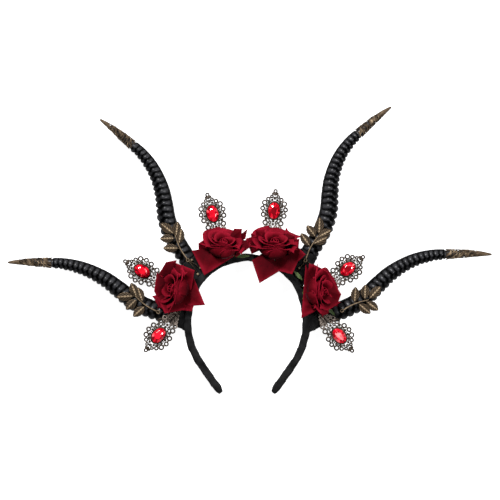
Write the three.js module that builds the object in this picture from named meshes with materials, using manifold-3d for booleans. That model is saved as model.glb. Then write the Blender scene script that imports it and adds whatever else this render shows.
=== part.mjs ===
import * as THREE from 'three';
import { mergeVertices } from 'three/addons/utils/BufferGeometryUtils.js';
import Module from 'manifold-3d';

// A four-horned headband with cloth roses, brass leaf sprigs, filigree ornaments and lacy horn caps.
// Lengths are in millimetres and angles in degrees. The headband lies on its back edge: +X is the
// viewer's right, +Y runs up past the crown and +Z comes toward the viewer. The origin is the middle
// of the crown on the back edge.

const clearance = 0.3;

// Band: a stiff hoop wound with cloth, open at the bottom between its two leg ends.
const bandHalfWidth = 65;
const bandCrownRise = 76.6;
const bandLegDrop = 72;
const bandThickness = 7;
const bandDepth = 24;
const bandSquareness = 0.32;
const legEndRounding = 0.45;
const bandSteps = 26;

// Horns: one moulding used four times, ringed up to the tip cap.
const hornLength = 198;
const hornBow = 23;
const hornGirth = 21;
const hornRings = 18;
const ringDepth = 1.3;
const hornTipLift = 9;
const hornSides = 8;

// Necks: the cloth-bound stubs that carry the horns from the band.
const neckLength = 30;
const neckGirth = 22;
const neckFlare = 14;

// Tip caps: thin brass cones with a lacy rim.
const capWall = 0.8;
const capRimLobe = 4;
const capPiercing = 1.7;

// Leaf sprigs: one brass stamping used four times.
const stemLength = 31;
const stemGirth = 1.8;
const leafLength = 16.5;
const leafWidth = 8.6;
const leafRidge = 0.9;
const sprigRing = 2.1;

// Filigree ornaments: one pierced plate used six times, each with an oval cut stone.
const ornamentLength = 55.5;
const ornamentHalfWidth = 15.4;
const ornamentPlate = 1.4;
const scrollSize = 3.5;
const scrollWire = 1.25;
const stoneLength = 18.5;
const stoneWidth = 13;
const stoneHeight = 4.6;
const postWidth = 2.4;
const postThickness = 1.1;
const postLevel = 8.2;

// Roses: cut cloth petals in nested cups round a rolled heart, on a green calyx.
const roseRadius = 32;
const roseHeight = 27;
const roseStandoff = 3;
const petalWall = 1.2;
const calyxRadius = 5;
const sepalLength = 17;

// The band's mid-line from the crown down one side, as shares of its half width and, for the level,
// of the crown rise above the temples or of the leg drop below them.
const bandRows = [
  { across: 0, level: 1 },
  { across: 0.3, level: 0.95 },
  { across: 0.485, level: 0.888 },
  { across: 0.66, level: 0.782 },
  { across: 0.838, level: 0.617 },
  { across: 0.975, level: 0.284 },
  { across: 1, level: 0 },
  { across: 0.95, level: -0.26 },
  { across: 0.86, level: -0.45 },
  { across: 0.705, level: -0.668 },
  { across: 0.585, level: -0.822 },
  { across: 0.44, level: -1 },
];

// The horn's spine from root to tip: shares of its length, of its bow and of its root girth.
const hornRows = [
  { along: 0, bow: 0, girth: 0.95 },
  { along: 0.15, bow: -0.02, girth: 1 },
  { along: 0.27, bow: 0.16, girth: 0.98 },
  { along: 0.36, bow: 0.5, girth: 0.93 },
  { along: 0.45, bow: 0.81, girth: 0.85 },
  { along: 0.58, bow: 1, girth: 0.73 },
  { along: 0.69, bow: 0.93, girth: 0.63 },
  { along: 0.78, bow: 0.71, girth: 0.54 },
  { along: 0.86, bow: 0.48, girth: 0.44 },
  { along: 0.93, bow: 0.26, girth: 0.3 },
  { along: 1, bow: 0, girth: 0.07 },
];

// Shares of the horn's length where its smooth tip and the cap's inner wall have their sections, and
// where the cap is pierced.
const tipShares = [0.77, 0.83, 0.89, 0.95];
const piercedShares = [0.81, 0.865];

// Horns: the share of the band where each sits, the way its neck and its chord lean from straight up,
// and its neck, length and bow as shares of the sizes above.
const horns = [
  { name: 'upper_left', seat: 0.345, neckLean: -28, neck: 0.88, lean: -32, length: 0.92, bow: 0.89 },
  { name: 'upper_right', seat: 0.65, neckLean: 30.5, neck: 1.16, lean: 29.2, length: 0.926, bow: 0.98 },
  { name: 'lower_left', seat: 0.235, neckLean: -84, neck: 0.44, lean: -72, length: 0.98, bow: 0.83 },
  { name: 'lower_right', seat: 0.767, neckLean: 85.5, neck: 0.51, lean: 69.7, length: 1.015, bow: 1.02 },
];

// Sprigs: how far from its horn's root each has its ring, as a share of the horn's length, with less
// than 0 on the neck, and the way its stem leans.
const sprigs = [
  { name: 'upper_left', along: 0, lean: -26.6 },
  { name: 'upper_right', along: -0.05, lean: 28.4 },
  { name: 'lower_left', along: 0.1, lean: -55 },
  { name: 'lower_right', along: 0.12, lean: 67.8 },
];

// The sprig's leaves: share of the stem where each grows, its turn from the stem and its length share.
const leafRows = [
  { stem: 1, turn: -25, length: 1.1 },
  { stem: 0.9, turn: 33, length: 0.95 },
  { stem: 0.6, turn: 36, length: 1 },
  { stem: 0.88, turn: -66, length: 0.95 },
  { stem: 0.48, turn: -63, length: 1 },
];

// One leaf blade from base to tip, as shares of its length and width.
const bladeRows = [
  { along: 0, width: 0.12 },
  { along: 0.36, width: 1 },
  { along: 0.76, width: 0.72 },
  { along: 1, width: 0.05 },
];

// Scrolls down one side of the filigree, measured from the stone's middle: share of the ornament's
// length up toward the end ring, share of its half width outward, share of the scroll size, and
// whether the scroll is pierced.
const scrollRows = [
  { up: 0.275, out: 0.23, size: 0.68, pierced: false },
  { up: 0.22, out: 0.46, size: 0.85, pierced: true },
  { up: 0.145, out: 0.7, size: 1, pierced: true },
  { up: 0.02, out: 0.78, size: 0.95, pierced: true },
  { up: -0.1, out: 0.7, size: 1, pierced: true },
  { up: -0.24, out: 0.52, size: 1.1, pierced: true },
  { up: -0.39, out: 0.36, size: 0.9, pierced: true },
];
const endRing = { up: 0.386, size: 0.8 };
const tailRing = { up: -0.614, size: 0.85 };

// Ornaments: the stone's place as shares of the band's half width and crown rise, the way the end ring
// points and, where a hidden post carries the plate, the share of the band where that post ends. The
// two without a post lie on a neck.
const ornaments = [
  { name: 'upper_left', across: -0.584, level: 0.63, lean: -15.4, seat: 0.44 },
  { name: 'upper_right', across: 0.457, level: 0.672, lean: 4.7, seat: 0.565 },
  { name: 'side_left', across: -1.777, level: -0.196, lean: -60.5, seat: 0.298 },
  { name: 'side_right', across: 1.706, level: -0.167, lean: 52.2, seat: 0.705 },
  { name: 'lower_left', across: -1.492, level: -1.115, lean: -139.7, seat: null },
  { name: 'lower_right', across: 1.557, level: -1.123, lean: 139.2, seat: null },
];

// Roses: the share of the band where each sits, the way its axis turns from straight up and tilts from
// facing the viewer, and the corners of its outermost petals as a turn and a share of the rose radius.
const roses = [
  {
    name: 'upper_left',
    seat: 0.433,
    turn: 10,
    tilt: 38,
    corners: [[-159, 1.12], [-106, 1.06], [-50, 0.78], [10, 0.74], [64, 1], [125, 0.5]],
  },
  {
    name: 'upper_right',
    seat: 0.572,
    turn: 3,
    tilt: 38,
    corners: [[-154, 1.28], [-100, 0.9], [-35, 0.78], [35, 0.78], [94, 0.97], [150, 0.94], [178, 0.75]],
  },
  {
    name: 'side_left',
    seat: 0.303,
    turn: -67,
    tilt: 38,
    corners: [[-174, 1.14], [-149, 0.8], [-100, 0.72], [-35, 0.7], [25, 0.7], [90, 0.88], [158, 0.6]],
  },
  {
    name: 'side_right',
    seat: 0.697,
    turn: 97,
    tilt: 38,
    corners: [[168, 0.5], [-150, 0.7], [-114, 1.04], [-45, 0.75], [15, 0.7], [60, 0.5], [111, 0.92]],
  },
];

// The nested cups of petals: rim radius and rim height as shares of the rose's, and the number of petals
// with how deep the notch between two petals is and how far the ring of petals is turned.
const petalCups = [
  { name: 'full_petals', spread: 0.8, floor: 0.3, rim: 0.68, petals: 6, notch: 0.14, turn: 0 },
  { name: 'middle_petals', spread: 0.58, floor: 0.38, rim: 0.86, petals: 5, notch: 0.12, turn: 20 },
  { name: 'inner_petals', spread: 0.36, floor: 0.46, rim: 0.97, petals: 4, notch: 0.1, turn: 50 },
];
const skirtCup = { floor: 0.22, rise: 0.25 };
const heartShape = { spread: 0.17, floor: 0.54, rim: 1, petals: 3 };
const cupSections = [0.42, 0.74, 1];
const cupCurve = 2.2;

const finish = {
  cloth: { color: 0x1d1d1f, roughness: 0.9, metalness: 0 },
  horn: { color: 0x232326, roughness: 0.42, metalness: 0 },
  brass: { color: 0x8a7350, roughness: 0.4, metalness: 0.9 },
  filigree: { color: 0x6f6557, roughness: 0.38, metalness: 0.9 },
  stone: { color: 0xd5122c, roughness: 0.06, metalness: 0 },
  velvet: { color: 0x6b0a18, roughness: 0.85, metalness: 0 },
  calyx: { color: 0x3c5a2a, roughness: 0.8, metalness: 0 },
};

const wasm = await Module();
wasm.setup();
const model = new THREE.Group();

// Small helpers

function radians(degrees) {
  return THREE.MathUtils.degToRad(degrees);
}

// The direction that leans this many degrees from +Y toward +X, in the plane of the hoop.
function leaning(degrees) {
  return new THREE.Vector3(Math.sin(radians(degrees)), Math.cos(radians(degrees)), 0);
}

// A value read from a table of rows, straight between two rows.
function read(rows, share, column) {
  const next = rows.findIndex((row) => row.along >= share);
  const after = rows[next < 1 ? 1 : next];
  const before = rows[rows.indexOf(after) - 1];
  const part = (share - before.along) / (after.along - before.along);
  return THREE.MathUtils.lerp(before[column], after[column], part);
}

// Joins equal corners, drops triangles that closed up to nothing and turns the skin outward.
function closed(geometry) {
  geometry.deleteAttribute('normal');
  geometry.deleteAttribute('uv');
  const merged = mergeVertices(geometry, 1e-4);
  const corners = merged.index.array;
  const cornerAt = (k) => new THREE.Vector3().fromBufferAttribute(merged.attributes.position, k);
  const kept = [];
  let volume = 0;
  for (let i = 0; i < corners.length; i += 3) {
    const [a, b, c] = corners.slice(i, i + 3);
    if (a !== b && b !== c && c !== a) {
      kept.push(a, b, c);
      volume += cornerAt(a).dot(cornerAt(b).cross(cornerAt(c)));
    }
  }
  merged.setIndex(volume < 0 ? kept.reverse() : kept);
  return merged;
}

// Bends a closed cylinder: place gives the point for a share of its length, an angle and a reach.
function bent(sides, steps, place) {
  const geometry = new THREE.CylinderGeometry(1, 1, 1, sides, steps);
  const corners = geometry.attributes.position;
  for (let i = 0; i < corners.count; i += 1) {
    const angle = Math.atan2(corners.getX(i), corners.getZ(i));
    const reach = Math.hypot(corners.getX(i), corners.getZ(i));
    const point = place(corners.getY(i) + 0.5, angle, reach);
    corners.setXYZ(i, point.x, point.y, point.z);
  }
  return closed(geometry);
}

// Turns a profile of radius and height pairs about an axis, then moves each point with place.
function turned(profile, sides, place) {
  const geometry = new THREE.LatheGeometry(profile.map(([r, h]) => new THREE.Vector2(r, h)), sides);
  const corners = geometry.attributes.position;
  for (let i = 0; i < corners.count; i += 1) {
    const angle = Math.atan2(corners.getX(i), corners.getZ(i));
    const radius = Math.hypot(corners.getX(i), corners.getZ(i));
    const point = place(radius, corners.getY(i), angle);
    corners.setXYZ(i, point.x, point.y, point.z);
  }
  return closed(geometry);
}

function toSolid(geometry) {
  return new wasm.Manifold(new wasm.Mesh({
    numProp: 3,
    vertProperties: new Float32Array(geometry.attributes.position.array),
    triVerts: new Uint32Array(geometry.index.array),
  }));
}

function toGeometry(solid) {
  const mesh = solid.getMesh();
  const geometry = new THREE.BufferGeometry();
  geometry.setAttribute('position', new THREE.BufferAttribute(mesh.vertProperties, mesh.numProp));
  geometry.setIndex(new THREE.BufferAttribute(mesh.triVerts, 1));
  return geometry;
}

function joined(geometries) {
  return toGeometry(geometries.map(toSolid).reduce((whole, piece) => whole.add(piece)));
}

function addPiece(name, geometry, look, place = new THREE.Matrix4()) {
  const mesh = new THREE.Mesh(geometry, new THREE.MeshStandardMaterial({ ...look, flatShading: true }));
  mesh.name = name;
  place.decompose(mesh.position, mesh.quaternion, mesh.scale);
  model.add(mesh);
}

// Band

const bandSide = bandRows.map(({ across, level }) => new THREE.Vector3(
  across * bandHalfWidth,
  (level - 1) * bandCrownRise + (level < 0 ? level * (bandLegDrop - bandCrownRise) : 0),
  bandDepth / 2,
));
const bandOtherSide = bandSide.slice(1).reverse().map((point) => point.clone().setX(-point.x));
const bandLine = new THREE.CatmullRomCurve3([...bandOtherSide, ...bandSide], false, 'centripetal');
const bandLineLength = bandLine.getLength();

// The mid-line's point, run and outward direction at a share of the band's length.
function bandAt(share) {
  const point = bandLine.getPointAt(share);
  const run = bandLine.getTangentAt(share);
  return { point, run, outward: new THREE.Vector3(-run.y, run.x, 0) };
}

// The hoop as a loft of rounded boxes, grown on every side by the margin. Its leg ends are rounded.
function bandSkin(margin) {
  const sides = 8;
  const corner = Math.cos(Math.PI / sides) ** bandSquareness;
  const halfThickness = bandThickness / 2 + margin;
  const halfDepth = bandDepth / 2 + margin;
  return bent(sides, bandSteps, (share, angle, reach) => {
    const { point, outward } = bandAt(share);
    const fromEnd = Math.min(share, 1 - share) * bandLineLength;
    const rounding = 1 - legEndRounding * Math.max(0, 1 - fromEnd / bandThickness) ** 2;
    const turn = angle + Math.PI / sides;
    const side = Math.sign(Math.sin(turn)) * Math.abs(Math.sin(turn)) ** bandSquareness;
    const depth = Math.sign(Math.cos(turn)) * Math.abs(Math.cos(turn)) ** bandSquareness;
    return point
      .addScaledVector(outward, (side / corner) * reach * halfThickness * rounding)
      .add(new THREE.Vector3(0, 0, (depth / corner) * reach * halfDepth));
  });
}

const bandSpace = toSolid(bandSkin(clearance));

function clearOfBand(geometry) {
  return toGeometry(toSolid(geometry).subtract(bandSpace));
}

addPiece('band', bandSkin(0), finish.cloth);

// Horns, necks and caps

// Each horn's root, spine and side: where it leaves its neck and the curve of its mid-line.
function hornLine(horn) {
  const seat = bandAt(horn.seat);
  const neckWay = leaning(horn.neckLean);
  const root = seat.point.clone().addScaledVector(neckWay, horn.neck * neckLength);
  const chord = leaning(horn.lean);
  const inward = new THREE.Vector3(-chord.y, chord.x, 0).multiplyScalar(Math.sign(horn.lean));
  const spine = new THREE.CatmullRomCurve3(hornRows.map((row) => root.clone()
    .addScaledVector(chord, row.along * horn.length * hornLength)
    .addScaledVector(inward, row.bow * horn.bow * hornBow)
    .add(new THREE.Vector3(0, 0, row.along ** 2 * hornTipLift))));
  return { seat, neckWay, root, spine, hand: Math.sign(horn.lean) };
}

// A point round the horn: angle 0 is its smooth outer curve and half a turn on is its ringed inner curve.
function aroundHorn(line, share, angle, radius) {
  const centre = line.spine.getPointAt(Math.min(share, 1));
  const run = line.spine.getTangentAt(Math.min(share, 1));
  const inward = new THREE.Vector3(-run.y, run.x, 0).normalize().multiplyScalar(line.hand);
  const front = new THREE.Vector3().crossVectors(inward, run).multiplyScalar(line.hand);
  return centre
    .addScaledVector(inward, Math.cos(angle) * radius)
    .addScaledVector(front, Math.sin(angle) * radius);
}

function hornRadius(share) {
  return (read(hornRows, share, 'girth') * hornGirth) / 2;
}

function coveredRadius(share) {
  return hornRadius(share) - capWall - clearance;
}

// The ringed horn: pairs of sections make its rings, deepest on the inner curve, and a smooth tip
// fills the cap.
function hornSkin(line) {
  const ringSteps = hornRings * 2;
  const steps = ringSteps + tipShares.length;
  return bent(hornSides, steps, (part, angle, reach) => {
    const step = Math.round(part * steps);
    if (step > ringSteps) {
      const share = tipShares[step - ringSteps - 1];
      return aroundHorn(line, share, angle, coveredRadius(share) * reach);
    }
    const end = tipShares[0] - clearance / hornLength;
    const inner = 0.2 + 0.4 * (1 - Math.cos(angle));
    const groove = step % 2 === 0 ? ringDepth * inner : 0;
    const share = (end * step) / ringSteps;
    return aroundHorn(line, share, angle, (hornRadius(share) - groove) * reach);
  });
}

// The cap is a thin cone whose rim has a pointed lobe on every second edge.
function capSkin(line) {
  const rim = tipShares[0];
  const outer = [[0, 1], [hornRadius(0.985), 0.985]];
  tipShares.slice().reverse().forEach((share) => outer.push([hornRadius(share), share]));
  const inner = tipShares.map((share) => [coveredRadius(share) + clearance, share]);
  const last = inner[inner.length - 1];
  last[1] += clearance / hornLength;
  inner.push([0, last[1] + clearance / hornLength]);
  return turned([...outer, ...inner], hornSides, (radius, share, angle) => {
    const notched = share < rim + 1e-5 && Math.cos((angle * hornSides) / 2) < 0;
    return aroundHorn(line, share + (notched ? capRimLobe / hornLength : 0), angle, radius);
  });
}

// Square bars across the cap, standing on edge, cut its piercings: two for each bar.
function capBars(line) {
  return piercedShares.map((share, row) => {
    const centre = line.spine.getPointAt(share);
    const run = line.spine.getTangentAt(share);
    const across = aroundHorn(line, share, Math.PI / 2 + (row * Math.PI) / 4, 1).sub(centre);
    const basis = new THREE.Matrix4().makeBasis(run, across, new THREE.Vector3().crossVectors(run, across));
    const bar = new THREE.BoxGeometry(capPiercing, hornGirth * 2, capPiercing).rotateY(Math.PI / 4);
    return closed(bar.applyMatrix4(basis.setPosition(centre)));
  });
}

// The neck is bound cloth that widens from the horn's root to its seat along the band.
function neckSkin(line) {
  const start = line.root.clone().addScaledVector(line.spine.getTangentAt(0), -clearance);
  const rootRun = line.spine.getTangentAt(0);
  const rootSide = new THREE.Vector3(-rootRun.y, rootRun.x, 0).normalize();
  const seatSide = line.seat.run.clone().multiplyScalar(Math.sign(line.seat.run.dot(rootSide)));
  return bent(hornSides, 3, (share, angle, reach) => {
    const centre = start.clone().lerp(line.seat.point, share);
    const side = rootSide.clone().lerp(seatSide, share).normalize();
    const half = THREE.MathUtils.lerp(neckGirth / 2, neckFlare, share ** 2);
    return centre
      .addScaledVector(side, Math.cos(angle) * half * reach)
      .add(new THREE.Vector3(0, 0, Math.sin(angle) * (neckGirth / 2) * reach));
  });
}

const hornLines = horns.map(hornLine);
horns.forEach((horn, i) => {
  const line = hornLines[i];
  addPiece(`horn_${horn.name}`, hornSkin(line), finish.horn);
  addPiece(`neck_${horn.name}`, clearOfBand(neckSkin(line)), finish.cloth);
  const bars = capBars(line).map(toSolid).reduce((all, bar) => all.add(bar));
  addPiece(`tip_cap_${horn.name}`, toGeometry(toSolid(capSkin(line)).subtract(bars)), finish.brass);
});

// The level in front of the necks and horns where the sprigs and the lower ornaments lie.
const neckFront = bandDepth / 2 + Math.max(neckGirth, hornGirth) / 2 + clearance;

// Leaf sprigs

// The stem's middle: it starts in the ring's wire and bows to one side.
function stemAt(share) {
  const start = sprigRing - stemGirth / 2;
  return new THREE.Vector3(-Math.sin(share * Math.PI) * stemGirth, start + share * (stemLength - start), 0);
}

// A four-sided blade whose ridge stands up along its middle.
function leafBlade({ stem, turn, length }) {
  const root = stemAt(stem);
  const way = leaning(turn);
  const side = new THREE.Vector3(way.y, -way.x, 0);
  return bent(4, bladeRows.length - 1, (share, angle, reach) => {
    const row = bladeRows[Math.round(share * (bladeRows.length - 1))];
    const half = (row.width * leafWidth) / 2;
    return root.clone()
      .addScaledVector(way, row.along * length * leafLength)
      .addScaledVector(side, Math.sin(angle) * half * reach)
      .add(new THREE.Vector3(0, 0, Math.cos(angle) * leafRidge * reach * Math.min(1, 0.3 + row.width)));
  });
}

function sprigSkin() {
  const stem = bent(4, 4, (share, angle, reach) => stemAt(share).add(new THREE.Vector3(
    Math.sin(angle) * reach * (stemGirth / 2),
    0,
    Math.cos(angle) * reach * (stemGirth / 2),
  )));
  const ring = new THREE.TorusGeometry(sprigRing - stemGirth / 2, stemGirth / 2, 4, 6);
  return joined([stem, closed(ring), ...leafRows.map(leafBlade)]);
}

const sprigGeometry = sprigSkin();
sprigs.forEach((sprig, i) => {
  const line = hornLines[i];
  const run = line.spine.getTangentAt(0);
  const ring = line.spine.getPointAt(Math.max(0, sprig.along));
  ring.addScaledVector(run, Math.min(0, sprig.along) * hornLength);
  ring.z = neckFront + Math.max(leafRidge, stemGirth / 2);
  const place = new THREE.Matrix4().makeRotationZ(radians(-sprig.lean)).setPosition(ring);
  addPiece(`leaf_sprig_${sprig.name}`, sprigGeometry, finish.brass, place);
});

// Filigree ornaments

// One half of the outline has a crest on each scroll and a notch between each two, no deeper than where
// their wires meet; the other half mirrors it.
function filigreeOutline() {
  const spots = scrollRows.map(({ up, out, size }) => ({
    x: out * ornamentHalfWidth,
    y: up * ornamentLength,
    r: size * scrollSize,
  }));
  const top = { x: 0, y: endRing.up * ornamentLength, r: endRing.size * scrollSize };
  const foot = { x: 0, y: tailRing.up * ornamentLength, r: tailRing.size * scrollSize };
  const right = [[top.r * 0.5, top.y + top.r * 0.87], [top.r, top.y]];
  spots.forEach((spot, i) => {
    const before = spots[i - 1] ?? top;
    const after = spots[i + 1] ?? foot;
    const outward = Math.atan2(after.x - before.x, before.y - after.y);
    const [x, y] = [Math.cos(outward), Math.sin(outward)];
    if (i > 0) {
      const apart = Math.hypot(before.x - spot.x, before.y - spot.y);
      const meeting = Math.sqrt(Math.max(0, Math.max(before.r, spot.r) ** 2 - (apart / 2) ** 2));
      const push = Math.max(Math.min(before.r, spot.r) * 0.35, meeting);
      right.push([(before.x + spot.x) / 2 + x * push, (before.y + spot.y) / 2 + y * push]);
    }
    right.push([spot.x + x * spot.r, spot.y + y * spot.r]);
  });
  right.push([foot.r, foot.y], [foot.r * 0.5, foot.y - foot.r * 0.87]);
  return [...right, ...right.slice().reverse().map(([x, y]) => [-x, y])];
}

function ringHole(x, y, radius, sides) {
  const points = [];
  for (let i = 0; i < sides; i += 1) {
    const angle = (i / sides) * Math.PI * 2;
    points.push(new THREE.Vector2(x + Math.cos(angle) * radius, y + Math.sin(angle) * radius));
  }
  return new THREE.Path(points);
}

function filigreePlate() {
  const shape = new THREE.Shape(filigreeOutline().map(([x, y]) => new THREE.Vector2(x, y)));
  scrollRows.filter((row) => row.pierced).forEach(({ up, out, size }) => {
    const radius = size * scrollSize - scrollWire;
    [1, -1].forEach((side) => {
      shape.holes.push(ringHole(side * out * ornamentHalfWidth, up * ornamentLength, radius, 4));
    });
  });
  [endRing, tailRing].forEach(({ up, size }) => {
    shape.holes.push(ringHole(0, up * ornamentLength, size * scrollSize - scrollWire, 4));
  });
  return new THREE.ExtrudeGeometry(shape, { depth: ornamentPlate, bevelEnabled: false });
}

// The stone has a flat table, a ring of crown facets, a girdle and a flat back.
function stoneSkin() {
  const radius = stoneWidth / 2;
  const profile = [
    [0, stoneHeight],
    [radius * 0.56, stoneHeight],
    [radius, stoneHeight * 0.4],
    [radius * 0.8, 0],
    [0, 0],
  ];
  return turned(profile, 10, (r, height, angle) => new THREE.Vector3(
    Math.sin(angle) * r,
    (Math.cos(angle) * r * stoneLength) / stoneWidth,
    height,
  ));
}

const plateGeometry = closed(filigreePlate());
const stoneGeometry = stoneSkin();
ornaments.forEach((ornament) => {
  const centre = new THREE.Vector3(
    ornament.across * bandHalfWidth,
    ornament.level * bandCrownRise,
    ornament.seat === null ? neckFront : postLevel,
  );
  const place = new THREE.Matrix4().makeRotationZ(radians(-ornament.lean)).setPosition(centre);
  const onPlate = place.clone();
  onPlate.multiply(new THREE.Matrix4().makeTranslation(0, 0, ornamentPlate + clearance));
  addPiece(`stone_${ornament.name}`, stoneGeometry, finish.stone, onPlate);
  if (ornament.seat === null) {
    addPiece(`filigree_${ornament.name}`, plateGeometry, finish.filigree, place);
    return;
  }
  const tail = new THREE.Vector3(0, tailRing.up * ornamentLength - scrollWire, 0).applyMatrix4(place);
  const seat = bandAt(ornament.seat).point;
  seat.z = tail.z;
  const post = new THREE.BoxGeometry(postWidth, tail.distanceTo(seat), postThickness);
  const way = seat.clone().sub(tail);
  post.rotateZ(Math.atan2(-way.x, way.y));
  post.translate((tail.x + seat.x) / 2, (tail.y + seat.y) / 2, tail.z + ornamentPlate / 2);
  const whole = joined([plateGeometry.clone().applyMatrix4(place), closed(post)]);
  addPiece(`filigree_${ornament.name}`, clearOfBand(whole), finish.filigree);
});

// Roses

// The frame of a rose: its own +Z is the axis and its own +Y is the side turned away from the viewer.
function rosePlace(rose) {
  const { point, outward } = bandAt(rose.seat);
  const base = point.addScaledVector(outward, bandThickness / 2 + clearance + roseStandoff);
  base.z = bandDepth - clearance;
  const away = leaning(rose.turn);
  const tilt = radians(rose.tilt);
  const axis = away.clone().multiplyScalar(Math.sin(tilt)).add(new THREE.Vector3(0, 0, Math.cos(tilt)));
  const back = away.clone().multiplyScalar(Math.cos(tilt)).add(new THREE.Vector3(0, 0, -Math.sin(tilt)));
  const across = new THREE.Vector3().crossVectors(back, axis);
  return new THREE.Matrix4().makeBasis(across, back, axis).setPosition(base);
}

// A thin cup: edge gives the point of its rim outline for each angle, as shares of the radius. Its wall
// rises with the distance from the axis, so nested cups stay clear of each other.
function cupSkin(sides, { radius, floor, rise, steep }, edge) {
  const under = cupSections.map((part) => [part, 0]);
  const upper = cupSections.slice().reverse().map((part) => [part, petalWall]);
  return turned([[0, 0], ...under, ...upper, [0, petalWall]], sides, (part, layer, angle) => {
    const rim = edge(angle);
    const inset = layer > 0 ? 1 - (petalWall * steep) / radius : 1;
    const real = part * Math.hypot(rim.x, rim.y);
    const lift = layer * (1 - 0.5 * steep * part);
    return new THREE.Vector3(
      rim.x * part * radius * inset,
      rim.y * part * radius * inset,
      floor + rise * real ** cupCurve + lift,
    );
  });
}

// A ring of round petals with a notch between each two.
function petalRing({ petals, notch, turn }) {
  return (angle) => {
    const swing = Math.abs(Math.cos(((angle - radians(turn)) * petals) / 2));
    const reach = 1 - notch * (1 - swing);
    return { x: Math.sin(angle) * reach, y: Math.cos(angle) * reach };
  };
}

// Square-cut petals: straight edges from corner to corner, with one more point halfway along each.
function cutCorners(corners) {
  const points = corners.map(([turn, reach]) => leaning(turn).multiplyScalar(reach));
  const outline = points.flatMap((point, i) => [
    point,
    point.clone().lerp(points[(i + 1) % points.length], 0.5),
  ]);
  return (angle) => {
    const k = Math.round((angle / (2 * Math.PI)) * outline.length);
    return outline[(k + outline.length) % outline.length];
  };
}

// The rolled heart: a bud whose petal edges wind round it as they rise.
function heartSkin() {
  const radius = heartShape.spread * roseRadius;
  const floor = heartShape.floor * roseHeight;
  const top = heartShape.rim * roseHeight;
  const profile = [[0, 0], [0.6, 0.12], [1, 0.55], [0.72, 0.9], [0.34, 1], [0, 0.86]];
  return turned(profile, heartShape.petals * 3, (part, level, angle) => {
    const swirl = 1 + 0.16 * Math.cos(angle * heartShape.petals + level * Math.PI * 1.5);
    return new THREE.Vector3(
      Math.sin(angle) * part * radius * swirl,
      Math.cos(angle) * part * radius * swirl,
      floor + (top - floor) * level,
    );
  });
}

// The calyx: a stub that reaches the band, and five flat sepals under the petals.
function calyxSkin() {
  const top = skirtCup.floor * roseHeight - clearance;
  const profile = [
    [0, -calyxRadius * 1.4],
    [calyxRadius * 0.7, -calyxRadius * 1.4],
    [calyxRadius, 0],
    [sepalLength, top * 0.85],
    [0, top],
  ];
  return turned(profile, 10, (radius, height, angle) => {
    const between = Math.cos(angle * 5) < 0 && radius > calyxRadius * 1.5;
    const reach = between ? calyxRadius * 1.3 : radius;
    return new THREE.Vector3(Math.sin(angle) * reach, Math.cos(angle) * reach, height);
  });
}

function addRose(rose) {
  const place = rosePlace(rose);
  addPiece(`rose_${rose.name}_calyx`, clearOfBand(calyxSkin().applyMatrix4(place)), finish.calyx);
  const skirt = {
    radius: roseRadius,
    floor: skirtCup.floor * roseHeight,
    rise: skirtCup.rise * roseHeight,
    steep: 0.3,
  };
  const skirtSkin = cupSkin(rose.corners.length * 2, skirt, cutCorners(rose.corners));
  addPiece(`rose_${rose.name}_outer_petals`, skirtSkin, finish.velvet, place);
  petalCups.forEach((cup) => {
    const sizes = {
      radius: cup.spread * roseRadius,
      floor: cup.floor * roseHeight,
      rise: (cup.rim - cup.floor) * roseHeight,
      steep: 1,
    };
    const skin = cupSkin(cup.petals * 2, sizes, petalRing(cup));
    addPiece(`rose_${rose.name}_${cup.name}`, skin, finish.velvet, place);
  });
  addPiece(`rose_${rose.name}_heart`, heartSkin(), finish.velvet, place);
}

roses.forEach(addRose);

export default model;
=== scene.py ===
import bisect
import itertools
import math
import random

import bmesh
import bpy
from mathutils import Matrix, Vector, noise


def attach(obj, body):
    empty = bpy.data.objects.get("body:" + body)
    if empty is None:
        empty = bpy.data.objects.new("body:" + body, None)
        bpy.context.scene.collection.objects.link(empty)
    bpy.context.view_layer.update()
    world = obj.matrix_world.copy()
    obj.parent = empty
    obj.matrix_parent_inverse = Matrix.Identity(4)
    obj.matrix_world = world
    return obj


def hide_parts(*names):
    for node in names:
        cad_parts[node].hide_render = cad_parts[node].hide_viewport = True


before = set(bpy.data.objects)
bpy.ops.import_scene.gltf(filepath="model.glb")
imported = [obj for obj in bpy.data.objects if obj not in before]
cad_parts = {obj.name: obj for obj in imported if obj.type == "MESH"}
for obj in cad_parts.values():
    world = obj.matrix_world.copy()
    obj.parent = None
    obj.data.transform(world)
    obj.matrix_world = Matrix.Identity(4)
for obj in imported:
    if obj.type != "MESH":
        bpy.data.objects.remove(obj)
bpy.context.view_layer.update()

# Camera, floor and lights
# The headband lies on its back edge on a pale table and is seen from straight above through a long
# lens, under a bright surround and two large soft lamps.
mm = 0.001
view_middle = Vector((3.3, 8.1))
view_width = 550
camera_height = 3000
subject_level = 14
sensor = 36
far_clip = 100
table_half_width = 6000
table_drop = 0.2
table_colours = (0, (0.5, 0.5, 0.51)), (1, (0.54, 0.54, 0.54))
table_glow = 0.95
surround_glow = 0.13
white = (1, 1, 1, 1)
lamps = [
    {"name": "key_lamp", "at": (-700, 1500, 2000), "size": 500, "watts": 96},
    {"name": "fill_lamp", "at": (1500, -100, 2000), "size": 500, "watts": 36},
]

camera_data = bpy.data.cameras.new("camera")
camera_data.sensor_width = sensor
camera_data.lens = sensor * (camera_height - subject_level) / view_width
camera_data.clip_end = far_clip
camera = bpy.data.objects.new("camera", camera_data)
camera.location = (view_middle.x * mm, view_middle.y * mm, camera_height * mm)
bpy.context.scene.collection.objects.link(camera)
bpy.context.scene.camera = camera
bpy.context.scene.view_settings.view_transform = "Standard"


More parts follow.
